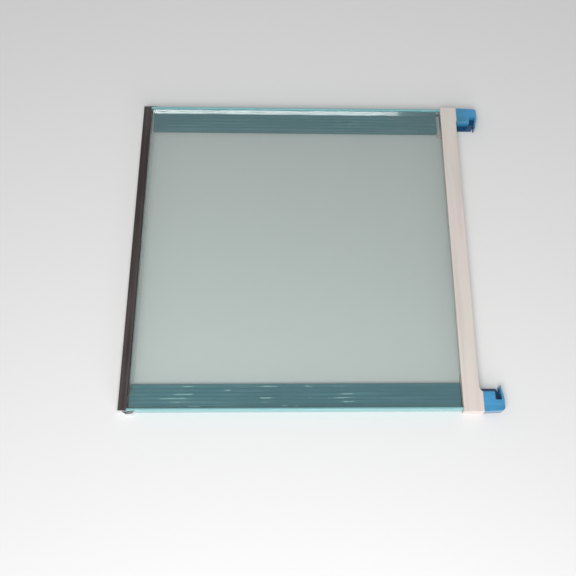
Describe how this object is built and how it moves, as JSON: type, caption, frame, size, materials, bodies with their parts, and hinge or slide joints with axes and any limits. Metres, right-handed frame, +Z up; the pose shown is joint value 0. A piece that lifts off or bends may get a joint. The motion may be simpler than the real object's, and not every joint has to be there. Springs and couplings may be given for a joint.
{
  "type": "refrigerator shelf",
  "caption": "Clear glass refrigerator shelf bonded onto ribbed translucent side rails, with a metal-faced front channel, a white rear trim and rear hooks.",
  "frame": {"origin": "middle of the shelf's overall footprint, at the level of the ledges that it lies on", "axes": "+X to the shelf's right side seen from the front, +Y from the front edge to the rear hooks, +Z up"},
  "size_m": [0.388, 0.4116, 0.012],
  "materials": {
    "clear_glass": "clear, polished",
    "clear_plastic": "clear, glossy",
    "satin_metal": "satin, brushed lengthwise",
    "aqua_plastic": "translucent, glossy",
    "clear_adhesive": "clear, wet look",
    "white_plastic": "satin, warm white",
    "blue_plastic": "translucent, glossy"
  },
  "bodies": {
    "root": {"glass_panel": "clear_glass", "front_channel": "clear_plastic", "front_strip": "satin_metal", "front_corner_left": "clear_plastic", "front_corner_right": "clear_plastic", "side_rail_left": "aqua_plastic", "side_rail_right": "aqua_plastic", "bond_film_left": "clear_adhesive", "bond_film_right": "clear_adhesive", "rear_trim": "white_plastic", "rear_cap_left": "white_plastic", "rear_cap_right": "white_plastic", "rear_hook_left": "blue_plastic", "rear_hook_right": "blue_plastic"}
  },
  "joints": []
}
